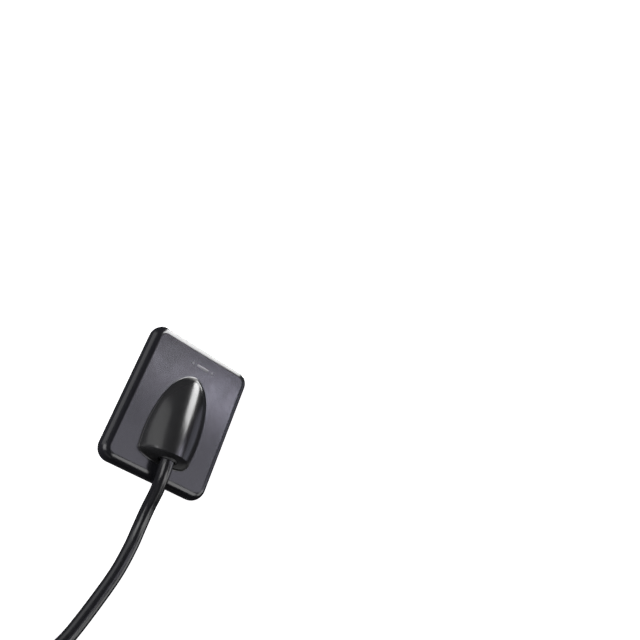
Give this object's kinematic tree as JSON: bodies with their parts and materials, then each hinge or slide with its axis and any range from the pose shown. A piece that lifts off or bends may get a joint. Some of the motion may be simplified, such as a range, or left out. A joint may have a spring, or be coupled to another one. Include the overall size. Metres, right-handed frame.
{
  "type": "intraoral x-ray sensor",
  "caption": "Flat dental X-ray sensor with rounded corners, a bullet-shaped cable dome on its back, and a folded, tied USB lead with a push-on plug cap.",
  "frame": {"origin": "centre of the active face, on the surface that the head lies on", "axes": "+X across the head, +Y along the head towards its far edge and away from the cable, +Z out of the back, on which the cable dome stands"},
  "size_m": [0.0533, 0.1847, 0.0219],
  "materials": {
    "head_plastic": "semi-gloss moulded plastic, black with a violet cast",
    "dome_plastic": "semi-gloss moulded plastic, black",
    "cable_jacket": "semi-gloss polyurethane jacket",
    "black_rubber": "matt rubber",
    "plug_plastic": "fine-textured moulded plastic",
    "foam": "closed-cell foam",
    "scintillator": "matt white coating",
    "fibre_glass": "polished fused fibre glass",
    "silicon": "polished silicon",
    "circuit_board": "green solder mask",
    "chip_black": "matt epoxy",
    "ceramic": "fired ceramic",
    "lead_foil": "dull rolled foil",
    "steel": "nickel-plated",
    "gold": "gold-plated",
    "wire_red": "insulation",
    "wire_black": "insulation",
    "wire_green": "insulation",
    "wire_white": "insulation",
    "tie_fabric": "hook-and-loop weave"
  },
  "bodies": {
    "sensor": {"front_cover": "head_plastic", "back_cover": "head_plastic", "seam_gasket": "black_rubber", "front_impact_pad": "foam", "scintillator_plate": "scintillator", "fibre_optic_plate": "fibre_glass", "cmos_imager": "silicon", "sensor_board": "circuit_board", "wire_bond_dam": "chip_black", "shield_foil": "lead_foil", "back_foam_pad": "foam", "image_processor": "chip_black", "adc_chip": "chip_black", "memory_chip": "chip_black", "crystal_oscillator": "steel", "voltage_regulator": "chip_black", "filter_capacitor_1": "ceramic", "filter_capacitor_2": "ceramic", "filter_capacitor_3": "ceramic", "filter_capacitor_4": "ceramic", "wire_header": "plug_plastic", "cable_dome": "dome_plastic", "cable_grommet": "black_rubber", "crimp_ferrule": "steel", "cable_anchor": "steel", "anchor_screw_1": "steel", "anchor_screw_2": "steel", "conductor_red": "wire_red", "conductor_white": "wire_white", "drain_wire": "steel", "conductor_green": "wire_green", "conductor_black": "wire_black", "cable_run": "cable_jacket", "cable_hank": "cable_jacket", "cable_tail": "cable_jacket", "cable_tie": "tie_fabric", "plug_boot": "black_rubber", "plug_ferrule": "steel", "plug_shell_upper": "plug_plastic", "plug_shell_lower": "plug_plastic", "usb_shell": "steel", "usb_tongue": "plug_plastic", "usb_contact_1": "gold", "usb_contact_2": "gold", "usb_contact_3": "gold", "usb_contact_4": "gold", "plug_board": "circuit_board", "plug_controller_chip": "chip_black", "plug_crystal": "steel", "plug_wire_red": "wire_red", "plug_wire_white": "wire_white", "plug_wire_green": "wire_green", "plug_wire_black": "wire_black"},
    "cap": {"plug_cap": "plug_plastic"}
  },
  "joints": [
    {"name": "cap_pull", "type": "slide", "parent": "sensor", "child": "cap", "axis": [0, 1, 0], "range_m": [0, 0.022]}
  ]
}
